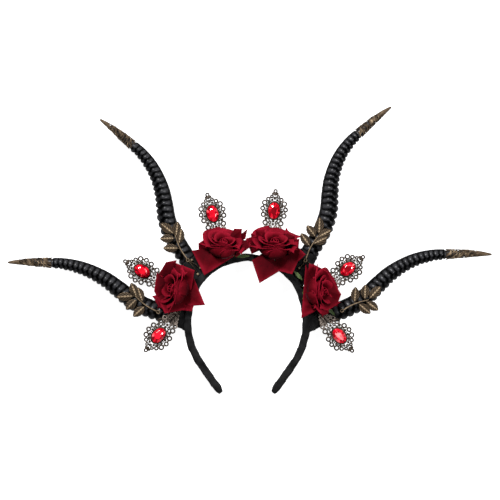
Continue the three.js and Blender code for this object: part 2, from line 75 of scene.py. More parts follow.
def mesh_piece(name, bm, material, smooth=True):
    """A finished piece from a mesh worked out in millimetres."""
    bm.transform(Matrix.Scale(mm, 4))
    mesh = bpy.data.meshes.new(name)
    bm.to_mesh(mesh)
    bm.free()
    mesh.materials.append(material)
    if smooth:
        mesh.shade_smooth()
    piece = bpy.data.objects.new(name, mesh)
    bpy.context.scene.collection.objects.link(piece)
    return piece


class Wire:
    """One socket of a material's tree. Sums and products of wires add their Math nodes."""

    def __init__(self, tree, socket=None):
        self.tree = tree
        self.socket = socket

    def node(self, kind, settings, sockets, output=0):
        """Adds a node: its settings come first, then the values or wires of its sockets."""
        made = self.tree.nodes.new(kind)
        for name, value in settings.items():
            if name == "stops":
                for _ in value[2:]:
                    made.color_ramp.elements.new(1)
                for stop, (place, colour) in zip(made.color_ramp.elements, value):
                    stop.position = place
                    stop.color = (*colour, 1)
            else:
                setattr(made, name, value)
        for name, value in sockets.items():
            if isinstance(value, Wire):
                self.tree.links.new(value.socket, made.inputs[name])
            else:
                made.inputs[name].default_value = value
        return Wire(self.tree, made.outputs[output])

    def maths(self, operation, first, second):
        return self.node("ShaderNodeMath", {"operation": operation}, {0: first, 1: second})

    def __add__(self, other):
        return self.maths("ADD", self, other)

    def __sub__(self, other):
        return self.maths("SUBTRACT", self, other)

    def __rsub__(self, other):
        return self.maths("SUBTRACT", other, self)

    def __mul__(self, other):
        return self.maths("MULTIPLY", self, other)

    __radd__ = __add__

    def ramp(self, *stops):
        """A colour read from stops of place and colour."""
        return self.node("ShaderNodeValToRGB", {"stops": stops}, {"Fac": self})

    def noise(self, scale, detail=3.0):
        """Cloudy values from 0 to 1 where the wire carries coordinates."""
        sockets = {"Vector": self, "Scale": scale, "Detail": detail}
        return self.node("ShaderNodeTexNoise", {}, sockets)

    def attribute(self, name):
        """A value that the mesh carries at its corners or faces."""
        return self.node("ShaderNodeAttribute", {"attribute_name": name}, {}, "Fac")

    def bump(self, strength, distance):
        """A surface normal from a height; the distance is in millimetres."""
        sockets = {"Strength": strength, "Distance": distance * mm, "Height": self}
        return self.node("ShaderNodeBump", {}, sockets)


def new_material(name, constants):
    """A material with these fixed sockets, its shader and the wire of the object's coordinates."""
    made = bpy.data.materials.new(name)
    made.use_nodes = True
    shader = made.node_tree.nodes["Principled BSDF"]
    for socket, value in constants.items():
        shader.inputs[socket].default_value = value
    return made, shader, Wire(made.node_tree).node("ShaderNodeTexCoord", {}, {}, "Object")


def connect(shader, wires):
    """Leads wires into the shader's sockets."""
    for socket, wire in wires.items():
        wire.tree.links.new(wire.socket, shader.inputs[socket])


table_material, table_shader, place = new_material("table", {
    "Roughness": 0.9, "Specular IOR Level": 0.1,
    "Emission Color": white, "Emission Strength": table_glow,
})
connect(table_shader, {"Base Color": place.noise(3.0).ramp(*table_colours)})
bm = bmesh.new()
bmesh.ops.create_grid(bm, x_segments=1, y_segments=1, size=table_half_width)
bmesh.ops.translate(bm, verts=bm.verts, vec=(0, 0, -table_drop))
table = mesh_piece("table", bm, table_material)

world = bpy.data.worlds.new("surround")
world.use_nodes = True
world.node_tree.nodes["Background"].inputs["Color"].default_value = white
world.node_tree.nodes["Background"].inputs["Strength"].default_value = surround_glow
bpy.context.scene.world = world
for lamp in lamps:
    light = bpy.data.lights.new(lamp["name"], "AREA")
    light.size = lamp["size"] * mm
    light.energy = lamp["watts"]
    lamp_object = bpy.data.objects.new(lamp["name"], light)
    lamp_object.location = Vector(lamp["at"]) * mm
    lamp_object.rotation_euler = Vector(lamp["at"]).to_track_quat("Z", "Y").to_euler()
    bpy.context.scene.collection.objects.link(lamp_object)

# Band
# A stiff flat hoop, open at the bottom, wound from end to end with matt black woven tape. Each turn of
# the tape laps over the one before it.
band_half_width = 65
band_crown_rise = 76.6
band_leg_drop = 72
band_thickness = 7
band_depth = 24
band_squareness = 0.32
band_end_rounding = 0.45
band_lowest = 0.05
band_sides = 40
band_steps = 300
tape_width = 15
tape_lap = 0.45
tape_rise = 0.35
crease_size = 9
crease_depth = 0.5
warp_threads = 2600
weft_threads = 420
cloth_colours = (0.3, (0.002, 0.002, 0.002)), (0.8, (0.024, 0.024, 0.025))
# across, level
band_rows = [
    (0, 1), (0.3, 0.95), (0.485, 0.888), (0.66, 0.782), (0.838, 0.617), (0.975, 0.284),
    (1, 0), (0.95, -0.26), (0.86, -0.45), (0.705, -0.668), (0.585, -0.822), (0.44, -1),
]


def smooth_path(points):
    """A smooth line through the points: a point and a direction for any share of it, and its length."""
    guides = [2 * points[0] - points[1], *points, 2 * points[-1] - points[-2]]
    steps = 40
    dense = []
    for before, start, end, after in zip(guides, guides[1:], guides[2:], guides[3:]):
        a, b, c = (side.length ** 0.5 for side in (start - before, end - start, after - end))
        leaving = ((start - before) / a - (end - before) / (a + b) + (end - start) / b) * b
        reaching = ((end - start) / b - (after - start) / (b + c) + (after - end) / c) * b
        square = 3 * (end - start) - 2 * leaving - reaching
        cube = 2 * (start - end) + leaving + reaching
        for t in (k / steps for k in range(steps)):
            dense.append(start + t * leaving + t * t * square + t**3 * cube)
    dense.append(points[-1])
    lengths = ((q - p).length for p, q in zip(dense, dense[1:]))
    reached = list(itertools.accumulate(lengths, initial=0))

    def at(share):
        target = min(max(share, 0), 1) * reached[-1]
        k = min(max(bisect.bisect_right(reached, target), 1), len(reached) - 1)
        part = (target - reached[k - 1]) / (reached[k] - reached[k - 1])
        return dense[k - 1].lerp(dense[k], part), (dense[k] - dense[k - 1]).normalized()

    return at, reached[-1]


def draw_out(bm, circle, steps):
    """Draws a circle's corners and edges out along Z into a tube whose rows are 1 apart."""
    bmesh.ops.spin(
        bm, geom=circle, cent=(0, 0, 0), axis=(0, 0, 1), dvec=(0, 0, 1), angle=0, steps=steps,
        use_merge=False, use_duplicate=False,
    )


def tube(sides, steps, corner):
    """A closed tube: corner places each point from its share of the length and its angle."""
    bm = bmesh.new()
    bmesh.ops.create_circle(bm, segments=sides, radius=1)
    draw_out(bm, list(bm.verts) + list(bm.edges), steps)
    along = bm.verts.layers.float.new("along")
    around = bm.verts.layers.float.new("around")
    for vert in bm.verts:
        share = vert.co.z / steps
        angle = math.atan2(vert.co.x, vert.co.y)
        vert[along] = share
        vert[around] = angle / math.tau
        vert.co = corner(share, angle)
    bmesh.ops.holes_fill(bm, edges=[edge for edge in bm.edges if edge.is_boundary], sides=0)
    bmesh.ops.recalc_face_normals(bm, faces=bm.faces)
    return bm


def leaning(degrees):
    """The direction that leans this much from up the view toward the viewer's right."""
    return Vector((math.sin(math.radians(degrees)), math.cos(math.radians(degrees)), 0))


band_side = []
for across, level in band_rows:
    drop = level * (band_leg_drop - band_crown_rise) if level < 0 else 0
    height = (level - 1) * band_crown_rise + drop
    band_side.append(Vector((across * band_half_width, height, band_depth / 2)))
band_points = [Vector((-point.x, point.y, point.z)) for point in band_side[:0:-1]] + band_side
band_at, band_length = smooth_path(band_points)


def outward_of(run):
    """The direction square to a run in the plane of the hoop, on the outer side of the band."""
    return Vector((-run.y, run.x, 0))


def band_corner(share, angle):
    point, run = band_at(share)
    from_end = min(share, 1 - share) * band_length
    rounding = 1 - band_end_rounding * max(0, 1 - from_end / band_thickness) ** 2
    side = math.copysign(abs(math.sin(angle)) ** band_squareness, math.sin(angle))
    depth = math.copysign(abs(math.cos(angle)) ** band_squareness, math.cos(angle))
    turn_of_tape = (share * band_length / tape_width + angle / math.tau) % 1
    lift = tape_rise + tape_lap * (1 - turn_of_tape)
    crease = noise.noise(Vector((point.x, point.y, angle * 8)) / crease_size) * crease_depth
    across = side * (band_thickness / 2 + lift + crease) * rounding
    level = max(band_lowest, band_depth / 2 + depth * (band_depth / 2 + (lift if depth > 0 else 0)))
    return Vector((point.x, point.y, 0)) + outward_of(run) * across + Vector((0, 0, level))


cloth_material, cloth_shader, place = new_material("wound_cloth", {"Specular IOR Level": 0.01})
along_band = place.attribute("along") * warp_threads
around_band = place.attribute("around") * weft_threads
warp = place.node("ShaderNodeMath", {"operation": "SINE"}, {0: along_band})
weft = place.node("ShaderNodeMath", {"operation": "SINE"}, {0: around_band})
weave = warp * weft * 0.5 + 0.5
cloudy = place.noise(90.0, 5.0)
connect(cloth_shader, {
    "Base Color": (cloudy * 0.75 + weave * 0.25).ramp(*cloth_colours),
    "Roughness": cloudy * 0.2 + 0.6,
    "Normal": (weave * 0.4 + place.noise(700.0) * 0.6).bump(0.5, 0.4),
})
band = mesh_piece("wound_band", tube(band_sides, band_steps, band_corner), cloth_material)
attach(band, "root")
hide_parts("band")

# Necks
# Each horn stands in a stub that is bound with the same black tape and spreads onto the band. The tape
# goes round three times and is glued down.
neck_length = 30
neck_girth = 22
neck_wraps = 3
neck_lap = 0.5
neck_crease = 0.7
neck_root_taper = 0.9
neck_sides = 36
neck_steps = 24
horn_length = 198
horn_bow = 23
horn_girth = 21
horn_tip_lift = 9
horn_places = {
    "upper_left": {
        "seat": 0.345, "neck_lean": -28, "neck": 0.88, "flare": 14,
        "lean": -32, "length": 0.92, "bow": 0.89,
    },
    "upper_right": {
        "seat": 0.65, "neck_lean": 30.5, "neck": 1.16, "flare": 14,
        "lean": 29.2, "length": 0.926, "bow": 0.98,
    },
    "lower_left": {
        "seat": 0.235, "neck_lean": -84, "neck": 0.44, "flare": 16,
        "lean": -72, "length": 0.98, "bow": 0.83,
    },
    "lower_right": {
        "seat": 0.767, "neck_lean": 85.5, "neck": 0.51, "flare": 18,
        "lean": 69.7, "length": 1.015, "bow": 1.02,
    },
}
# along, bow, girth
horn_rows = [
    (0, 0, 0.95), (0.15, -0.02, 1), (0.27, 0.16, 0.98), (0.36, 0.5, 0.93), (0.45, 0.81, 0.85),
    (0.58, 1, 0.73), (0.69, 0.93, 0.63), (0.78, 0.71, 0.54), (0.86, 0.48, 0.44), (0.93, 0.26, 0.3),
    (1, 0, 0.07),
]


def horn_line(name):
    """Where a horn starts, the line of its middle, its length and its hand."""
    row = horn_places[name]
    hand = math.copysign(1, row["lean"])
    root = band_at(row["seat"])[0] + leaning(row["neck_lean"]) * row["neck"] * neck_length
    chord = leaning(row["lean"])
    inward = outward_of(chord) * hand
    points = []
    for along, bow, _ in horn_rows:
        reach = chord * along * row["length"] * horn_length
        bowed = inward * bow * row["bow"] * horn_bow
        points.append(root + reach + bowed + Vector((0, 0, along**2 * horn_tip_lift)))
    at, length = smooth_path(points)
    return root, at, length, hand


for name, row in horn_places.items():
    root, spine_at, _, _ = horn_line(name)
    seat, seat_run = band_at(row["seat"])
    root_side = outward_of(spine_at(0)[1])
    seat_side = seat_run * math.copysign(1, seat_run.dot(root_side))

    def neck_corner(share, angle):
        side = root_side.lerp(seat_side, share).normalized()
        half = neck_girth / 2 + (row["flare"] - neck_girth / 2) * share**2
        wrap = neck_lap * ((share * neck_wraps + angle / math.tau) % 1)
        spot = Vector((share * 3, math.sin(angle) * 2, math.cos(angle) * 2 + len(name)))
        crease = noise.noise(spot) * neck_crease
        half += crease - wrap
        deep = neck_girth / 2 + crease * 0.6 - wrap
        if share == 0:
            half, deep = half * neck_root_taper, deep * neck_root_taper
        across = side * math.cos(angle) * half
        return root.lerp(seat, share) + across + Vector((0, 0, math.sin(angle) * deep))

    neck_tube = tube(neck_sides, neck_steps, neck_corner)
    neck = mesh_piece(f"bound_neck_{name}", neck_tube, cloth_material)
    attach(neck, "root")
    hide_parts(f"neck_{name}")

# Horns
# One moulding in satin black plastic, used four times. Cushion-like rings cross it, deep on the hollow
# of the curve and nearly gone on its back, and they close up toward the tip.
first_ring = 8.2
last_ring = 5.4
ring_depth = 3.2
ring_waver = 0.14
ring_slant = 0.15
groove_sharpness = 0.6
knob_angle = 1.8
knob_shift = 0.4
seam_angle = 1.95
seam_width = 0.22
seam_depth = 0.35
back_strength = 0.08
# How much painted shade falls on the back and on the hollow of each horn.
painted_light_zones = {"back_edge": 0.45, "back": 0.3, "hollow_edge": 2.1, "hollow": 0.7}
horn_end = 0.975
horn_sides = 36
horn_steps = 230
row_crowding = 0.9
cap_start = 0.77
cap_wall = 0.8
clearance = 0.3
horn_painted_light_colours = (0.45, (0.0003, 0.0003, 0.0004)), (0.95, (0.028, 0.028, 0.031))


def girth_at(share):
    """The horn's radius at a share of its length."""
    k = next(i for i, row in enumerate(horn_rows) if row[0] >= min(share, 1)) or 1
    (low, _, thin), (high, _, thick) = horn_rows[k - 1], horn_rows[k]
    return (thin + (thick - thin) * (min(share, 1) - low) / (high - low)) * horn_girth / 2


def round_horn(spine_at, hand, share, angle, radius):
    """A point round the horn: angle 0 is the back of its curve and half a turn on is the hollow."""
    point, run = spine_at(share)
    inward = outward_of(run).normalized() * hand
    front = inward.cross(run) * hand
    return point + inward * math.cos(angle) * radius + front * math.sin(angle) * radius


# The horn's colour is painted light from the ring values: painted highlights on the crests in front,
# painted shade in the grooves, on the back and on the hollow. The same values make the crests glossier.
horn_material, horn_shader, place = new_material(
    "satin_horn", {"Specular IOR Level": 0.015, "Coat Roughness": 0.32}
)
grain = place.noise(160.0, 6.0)
scratches = place.node("ShaderNodeTexNoise", {}, {"Vector": place, "Scale": 900.0, "Detail": 2.0})
painted_light_and_gloss = place.attribute("relief")
connect(horn_shader, {
    "Base Color": (painted_light_and_gloss * 0.8 + grain * 0.3).ramp(*horn_painted_light_colours),
    "Roughness": 0.45 - painted_light_and_gloss * 0.1 + scratches * 0.1,
    "Coat Weight": painted_light_and_gloss * painted_light_and_gloss * 0.36,
    "Normal": (grain * 0.8 + scratches * 0.2).bump(0.15, 0.6),
})
for name in horn_places:
    _, spine_at, spine_length, hand = horn_line(name)
    ring_shrink = (last_ring - first_ring) / cap_start

    def ring_phase(share):
        """How many rings there are up to a share of the length; they shorten toward the tip."""
        return spine_length / ring_shrink * math.log((first_ring + ring_shrink * share) / first_ring)

    def relief_at(share, angle):
        """Height of the rings, from 0 in a groove to 1 on a crest, and how strong they are there."""
        if share > cap_start:
            return 1, 0
        hollow = (1 - math.cos(angle)) / 2
        knobs = min(max((abs(angle) - knob_angle) / 0.3, 0), 1)
        uneven = noise.noise(Vector((share * 30, hand, angle)))
        phase = ring_phase(share) + ring_slant * math.cos(angle)
        phase = phase + knob_shift * knobs + ring_waver * uneven
        crest = abs(math.sin(math.pi * phase)) ** groove_sharpness
        seam = math.exp(-((abs(angle) - seam_angle) / seam_width) ** 2)
        return crest * (1 - seam_depth * seam), back_strength + (1 - back_strength) * hollow**0.4

    def painted_light_at(share, angle):
        """Painted light and shade: highlights on the crests in front, painted shade in the grooves, on
        the back and on the hollow.
        """
        crest, strength = relief_at(share, angle)
        cushions = min(max((abs(angle) - painted_light_zones["back_edge"]) / 0.4, painted_light_zones["back"]), 1)
        hollow = painted_light_zones["hollow"] if abs(angle) > painted_light_zones["hollow_edge"] else 1
        return (1 - min(strength * 1.3, 1) * (1 - crest**1.7)) * cushions * hollow

    def horn_corner(share, angle):
        share = share**row_crowding
        crest, strength = relief_at(share, angle)
        covered = (cap_wall + clearance) if share > cap_start else 0
        groove = ring_depth * strength * (1 - crest) * (0.45 + 0.55 * (1 - share))
        radius = girth_at(share) - covered - groove
        radius += 0.5 * strength * noise.noise(Vector((share * 40, angle * 1.5, hand * 3)))
        return round_horn(spine_at, hand, share * horn_end, angle, max(radius, 0.3))

    bm = tube(horn_sides, horn_steps, horn_corner)
    along = bm.verts.layers.float["along"]
    around = bm.verts.layers.float["around"]
    relief = bm.verts.layers.float.new("relief")
    for vert in bm.verts:
        vert[relief] = painted_light_at(vert[along] ** row_crowding, vert[around] * math.tau)
    horn = mesh_piece(f"ringed_horn_{name}", bm, horn_material)
    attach(horn, "root")
    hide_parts(f"horn_{name}")

# Tip caps
# A cast cone of antique brass slipped over each tip: a plain spike at the end, then lace with a pointed
# edge through which the black horn shows.
cap_cells_round = 6
cap_rows = 15
cap_lace_rows = 11
lace_bar = 0.4
lace_point = 0.02
lace_open_share = 0.95
lace_open_loss = 0.05
scroll_height = 0.9
spike_shine = 0.62
tip_reach = 2
brass_colours = (0.25, (0.008, 0.006, 0.004)), (0.65, (0.08, 0.055, 0.034)), (1.0, (0.4, 0.3, 0.19))

brass_material, brass_shader, place = new_material("antique_brass", {"Specular IOR Level": 0.08})
# These values are real wear, lighter on the raised veins and ribs and at random on the lace, plus
# painted highlights on the tops of wires and solder grains.
wear_and_painted_light = place.attribute("relief")
tarnish = place.noise(220.0, 4.0)
connect(brass_shader, {
    "Base Color": (wear_and_painted_light * 0.75 + tarnish * 0.35).ramp(*brass_colours),
    "Metallic": wear_and_painted_light * 0.3 + 0.1,
    "Roughness": 0.62 - wear_and_painted_light * 0.2 + tarnish * 0.12,
    "Normal": place.noise(1500.0).bump(0.3, 0.2),
})
for name in horn_places:
    _, spine_at, _, hand = horn_line(name)
    chooser = random.Random(name)

    def cap_corner(share, angle):
        """A corner of the net; each row of the lace is turned half a cell on from the last."""
        row = round(share * cap_rows)
        place_on_horn = cap_start + (1 - cap_start) * share
        if row == 0 and round(angle / math.tau * cap_cells_round * 2) % 2 == 0:
            place_on_horn -= lace_point
        twist = math.pi / cap_cells_round * min(row, cap_lace_rows)
        radius = girth_at(place_on_horn)
        if row < cap_lace_rows:
            radius += scroll_height * noise.noise(Vector((share * 23, angle * 2.5, hand * 5)))
        return round_horn(spine_at, hand, place_on_horn, angle + twist, max(radius, 0.45))

    bm = bmesh.new()
    bmesh.ops.create_circle(bm, segments=cap_cells_round * 2, radius=1)
    draw_out(bm, list(bm.verts) + list(bm.edges), cap_rows)
    relief = bm.verts.layers.float.new("relief")
    rows_of_faces = {face: face.calc_center_median().z for face in bm.faces}
    for vert in bm.verts:
        row = vert.co.z
        vert[relief] = chooser.uniform(0.1, 0.9) if row < cap_lace_rows else spike_shine
        vert.co = cap_corner(row / cap_rows, math.atan2(vert.co.x, vert.co.y))
    lace = [
        face for face, row in rows_of_faces.items()
        if row < cap_lace_rows and chooser.random() < lace_open_share - lace_open_loss * row
    ]
    bmesh.ops.inset_individual(bm, faces=lace, thickness=lace_bar, depth=0, use_even_offset=False)
    bmesh.ops.delete(bm, geom=lace, context="FACES")
    tip = spine_at(1)[0]
    tip_edges = [
        edge for edge in bm.edges
        if edge.is_boundary and all((vert.co - tip).length < tip_reach for vert in edge.verts)
    ]
    bmesh.ops.holes_fill(bm, edges=tip_edges, sides=0)
    bmesh.ops.recalc_face_normals(bm, faces=bm.faces)
    cap = mesh_piece(f"lace_cap_{name}", bm, brass_material)
    wall = cap.modifiers.new("wall", "SOLIDIFY")
    wall.thickness = cap_wall * mm
    wall.offset = 0
    soft = cap.modifiers.new("soft", "SUBSURF")
    soft.levels = soft.render_levels = 1
    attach(cap, "root")
    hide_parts(f"tip_cap_{name}")

# Leaf sprigs
# One stamping in antique brass, used four times: a bowed stem with a ring at its foot and five toothed
# leaves with raised veins, lying on the front of each horn's root.
stem_length = 31
stem_girth = 1.8
stem_bow = 1.8
leaf_length = 18.5
leaf_width = 9.8
leaf_thickness = 0.45
leaf_crown = 0.9
leaf_stalk = 0.12
leaf_teeth = 7
leaf_veins = 6
sprig_ring = 2.1
sprig_wire = 0.6
drop_size = 1.7
drop_wire = 0.45
# share of the stem, turn, size
leaf_rows = [(1, -25, 1.1), (0.9, 33, 0.95), (0.6, 36, 1), (0.88, -66, 0.95), (0.48, -63, 1)]
# droop is how much further the leaves on the right and on the left are bent down
sprig_places = {
    "upper_left": {
        "along_horn": 0, "lean": -26.6, "droop": (0, 0),
        "drops": [(-60.5, -3), (-51, -11.7), (-54, -18.3)],
    },
    "upper_right": {
        "along_horn": -0.05, "lean": 28.4, "droop": (0, 0), "drops": [(57.2, -11.7), (72.5, -9.5)],
    },
    "lower_left": {"along_horn": 0.1, "lean": -55, "droop": (0, -14), "drops": []},
    "lower_right": {"along_horn": 0.12, "lean": 67.8, "droop": (26, 0), "drops": []},
}
front_of_necks = band_depth / 2 + neck_girth / 2 + clearance


def stem_at(share):
    """A point of the bowed stem, from its ring to its end."""
    start = sprig_ring - stem_girth / 2
    return Vector((-math.sin(share * math.pi) * stem_bow, start + share * (stem_length - start), 0))


def add_leaf(bm, relief, root, turn, share):
    """One leaf blade from a grid: toothed, with a raised midrib and side veins."""
    way = leaning(turn)
    side = Vector((way.y, -way.x, 0))
    made = bmesh.ops.create_grid(bm, x_segments=14, y_segments=28, size=1)["verts"]
    for vert in made:
        u, t = vert.co.x, (vert.co.y + 1) / 2
        outline = math.sin(math.pi * max(0, t - leaf_stalk) / (1 - leaf_stalk)) ** 0.75
        tooth = (t * leaf_teeth) % 1
        edge = leaf_width / 2 * (outline * (0.88 + 0.16 * tooth) + 0.04)
        vein = (0.5 + 0.5 * math.cos((t * leaf_veins - abs(u) * 1.8) * math.tau)) ** 2
        rib = math.exp(-(u * 7) ** 2)
        height = leaf_crown * (1 - u * u) * (1 - 0.5 * t)
        height += 0.4 * vein * (1 - u * u) + 0.3 * rib - 0.5
        vert[relief] = min(1, 0.08 + 0.8 * vein * (1 - 0.5 * abs(u)) + 0.9 * rib + 0.5 * abs(u) ** 8)
        vert.co = root + way * t * share * leaf_length + side * u * edge + Vector((0, 0, height))


def add_wire(bm, relief, points, radius, wire_tone_and_light=0.8, closed=False, sides=8):
    """A round wire drawn through the points."""
    count = len(points)
    circle = bmesh.ops.create_circle(bm, segments=sides, radius=1)["verts"]
    edges = list(dict.fromkeys(edge for vert in circle for edge in vert.link_edges))
    known = set(bm.verts) - set(circle)
    steps = count if closed else count - 1
    draw_out(bm, list(circle) + edges, steps)
    made = [vert for vert in bm.verts if vert not in known]
    for vert in made:
        k = round(vert.co.z)
        here, ahead, behind = points[k % count], points[(k + 1) % count], points[(k - 1) % count]
        if not closed:
            here, ahead, behind = points[k], points[min(k + 1, count - 1)], points[max(k - 1, 0)]
        run = (ahead - behind).normalized()
        side = run.cross(Vector((0, 0, 1))).normalized()
        up = side.cross(run)
        reach = radius(k / steps) if callable(radius) else radius
        # Painted highlight along the upper side of the wire and painted shade under it.
        vert[relief] = wire_tone_and_light * (0.55 + 0.45 * vert.co.y)
        vert.co = here + side * vert.co.x * reach + up * vert.co.y * reach
    if closed:
        bmesh.ops.remove_doubles(bm, verts=made, dist=0.001)
    else:
        ends = dict.fromkeys(edge for vert in made for edge in vert.link_edges if edge.is_boundary)
        bmesh.ops.holes_fill(bm, edges=list(ends), sides=0)


def add_grain(bm, relief, centre, radius):
    """A grain of solder at a joint."""
    made = bmesh.ops.create_icosphere(bm, subdivisions=1, radius=radius)["verts"]
    for vert in made:
        # Painted highlight on the top of the grain and painted shade under it.
        vert[relief] = 0.6 + 0.4 * vert.co.z / radius
        vert.co += centre


def circle_of(centre, radius, count=14, level=0.0, stretch=1.0):
    """Points round a circle, or round an oval that is stretched upward."""
    turns = (k / count * math.tau for k in range(count))
    x, y = centre
    return [
        Vector((x + math.cos(t) * radius, y + math.sin(t) * radius * stretch, level)) for t in turns
    ]


for name, row in sprig_places.items():
    spine_at = horn_line(name)[1]
    bm = bmesh.new()
    relief = bm.verts.layers.float.new("relief")
    for share, turn, size in leaf_rows:
        add_leaf(bm, relief, stem_at(share), turn + row["droop"][turn < 0], size)
    blades = list(bm.faces)
    bmesh.ops.recalc_face_normals(bm, faces=blades)
    bmesh.ops.solidify(bm, geom=blades, thickness=leaf_thickness)
    stem_points = [stem_at(k / 12) for k in range(13)]
    add_wire(bm, relief, stem_points, lambda share: stem_girth / 2 * (1 - 0.35 * share))
    add_wire(bm, relief, circle_of((0, 0), sprig_ring - 0.5), sprig_wire, closed=True)
    before_horn = spine_at(0)[1] * min(0, row["along_horn"]) * horn_length
    foot = spine_at(max(0, row["along_horn"]))[0] + before_horn
    foot.z = front_of_necks + leaf_crown
    bm.transform(Matrix.Translation(foot) @ Matrix.Rotation(-math.radians(row["lean"]), 4, "Z"))
    for spot in row["drops"]:
        drop = Vector((*spot, foot.z - 0.6))
        bend = foot.lerp(drop, 0.5) + Vector((1, 0, 0.6))
        add_wire(bm, relief, [foot, bend, drop], drop_wire, wire_tone_and_light=0.4)
        add_grain(bm, relief, drop, drop_size)
    sprig = mesh_piece(f"brass_sprig_{name}", bm, brass_material)
    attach(sprig, "root")
    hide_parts(f"leaf_sprig_{name}")

# Filigree ornaments
# Six pendants of round bronze wire: rings and scrolls soldered side by side round an oval setting, with
# a grain of solder at each joint. Four of them are carried by a flat post that is soldered to the tail.
ornament_length = 55.5
plate = 1.4
tail_ring_place = -0.614
wire_radius = 0.95
tail_wire_radius = 0.6
setting_wire_radius = 1.1
claw_wire_radius = 0.5
scroll_unit = 1.1
# Rings in scroll units from the middle of the stone: across, up, radius. All but the middle ones are
# there twice, once on each side.
outer_scrolls = [
    (2.1, 17.0, 1.5), (3.2, 14.0, 2.1), (6.6, 11.2, 2.5), (9.9, 7.4, 3.0), (11.5, 1.6, 2.7),
    (10.4, -4.6, 2.9), (7.2, -8.4, 1.7), (7.9, -12.4, 3.0), (6.8, -17.6, 2.7), (5.6, -21.0, 1.9),
    (4.2, -24.4, 1.7), (2.6, -27.6, 1.5),
]
inner_scrolls = [
    (2.6, 10.6, 1.4), (5.6, 7.9, 1.5), (7.6, 4.2, 1.5), (8.1, -0.6, 1.5), (7.0, -4.8, 1.4),
    (4.3, -8.4, 1.4), (3.3, -12.0, 1.9), (2.6, -16.2, 1.9), (2.0, -20.0, 1.6), (1.4, -23.6, 1.4),
]
tail_rings = [
    (1.5, -18.6, 1.3), (4.2, -19.2, 1.2), (1.4, -21.6, 1.2), (3.8, -22.6, 1.1), (1.3, -24.8, 1.2),
    (1.2, -28.2, 1.1), (6.8, -19.6, 1.0), (5.6, -14.2, 1.0),
]
middle_rings = [
    (0, 19.5, 2.4), (0, 16.4, 1.7), (0, 12.6, 1.8), (0, -10.6, 1.5), (0, -13.6, 1.5), (0, -27.0, 1.3),
    (0, -31.0, 2.3),
]
tail_start = -14
stone_length = 18.5
stone_width = 13
# across, level, lean, seat of the post on the band
ornament_places = {
    "upper_left": (-0.584, 0.63, -15.4, 0.44), "upper_right": (0.457, 0.672, 4.7, 0.565),
    "side_left": (-1.777, -0.196, -60.5, 0.298), "side_right": (1.706, -0.167, 52.2, 0.705),
    "lower_left": (-1.492, -1.115, -139.7, None), "lower_right": (1.557, -1.123, 139.2, None),
}
post_level = 8.2
post_width = 2.4
post_thickness = 1.1
post_shine = 0.4
bronze_colours = (
    (0.3, (0.003, 0.0025, 0.002)), (0.75, (0.034, 0.025, 0.018)), (1.0, (0.36, 0.3, 0.26))
)

filigree_material, filigree_shader, place = new_material(
    "bronze_filigree", {"Specular IOR Level": 0.08}
)
# These values are painted highlights on the tops of the wires and grains and painted shade under them;
# the post has one even tone.
wire_tone_and_light = place.attribute("relief")
tarnish = place.noise(260.0, 4.0)
connect(filigree_shader, {
    "Base Color": (wire_tone_and_light * 0.7 + tarnish * 0.4).ramp(*bronze_colours),
    "Metallic": wire_tone_and_light * 0.35 + 0.05,
    "Roughness": 0.55 - wire_tone_and_light * 0.22 + tarnish * 0.1,
    "Normal": place.noise(1600.0).bump(0.25, 0.15),
})


def ornament_place(name):
    """The ornament's own frame: the stone's middle on the back of the wires, with the end ring up."""
    across, level, lean, seat = ornament_places[name]
    height = front_of_necks if seat is None else post_level
    centre = Vector((across * band_half_width, level * band_crown_rise, height))
    return Matrix.Translation(centre) @ Matrix.Rotation(-math.radians(lean), 4, "Z")


